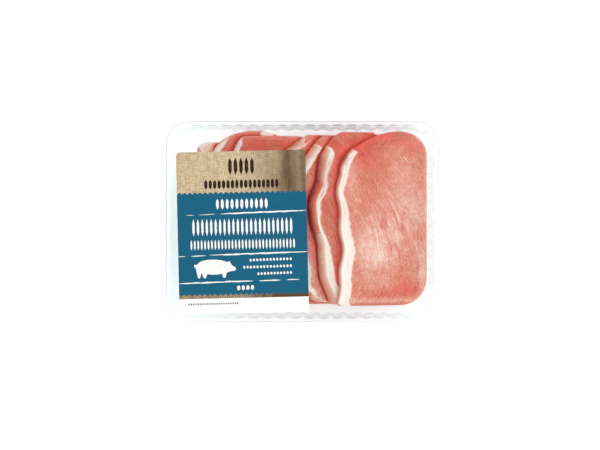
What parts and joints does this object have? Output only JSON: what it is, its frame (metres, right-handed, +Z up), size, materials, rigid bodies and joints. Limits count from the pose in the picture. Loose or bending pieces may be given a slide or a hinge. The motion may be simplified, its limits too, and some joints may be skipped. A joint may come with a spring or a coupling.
{
  "type": "tray pack of sliced raw pork chops",
  "caption": "Sealed clear plastic tray with a lid film and a paper label, holding thin boneless raw pork chops laid like shingles.",
  "frame": {"origin": "under the middle of the tray's base, where it stands", "axes": "+X along the tray towards the top slice, +Y across it towards the label's upper edge, +Z up through the lid film"},
  "size_m": [0.227, 0.178, 0.039],
  "materials": {
    "clear_tray": "clear thermoformed plastic, glossy, with soft reflections in its flutes",
    "clear_film": "thin clear lid film, very glossy, tight",
    "label_paper": "coated paper printed in a tan sackcloth band, a blue-green field and white, satin",
    "raw_lean": "raw lean pork, moist, salmon pink with fine pale grain",
    "raw_fat": "raw pork fat, moist, off-white with faint pink"
  },
  "bodies": {
    "root": {"tray": "clear_tray", "lid_film": "clear_film", "label": "label_paper", "chop_1_lean": "raw_lean", "chop_1_fat": "raw_fat", "chop_2_lean": "raw_lean", "chop_2_fat": "raw_fat", "chop_3_lean": "raw_lean", "chop_3_fat": "raw_fat", "chop_4_lean": "raw_lean", "chop_4_fat": "raw_fat", "chop_5_lean": "raw_lean", "chop_5_fat": "raw_fat", "chop_6_lean": "raw_lean", "chop_6_fat": "raw_fat", "chop_7_lean": "raw_lean", "chop_7_fat": "raw_fat"}
  },
  "joints": []
}
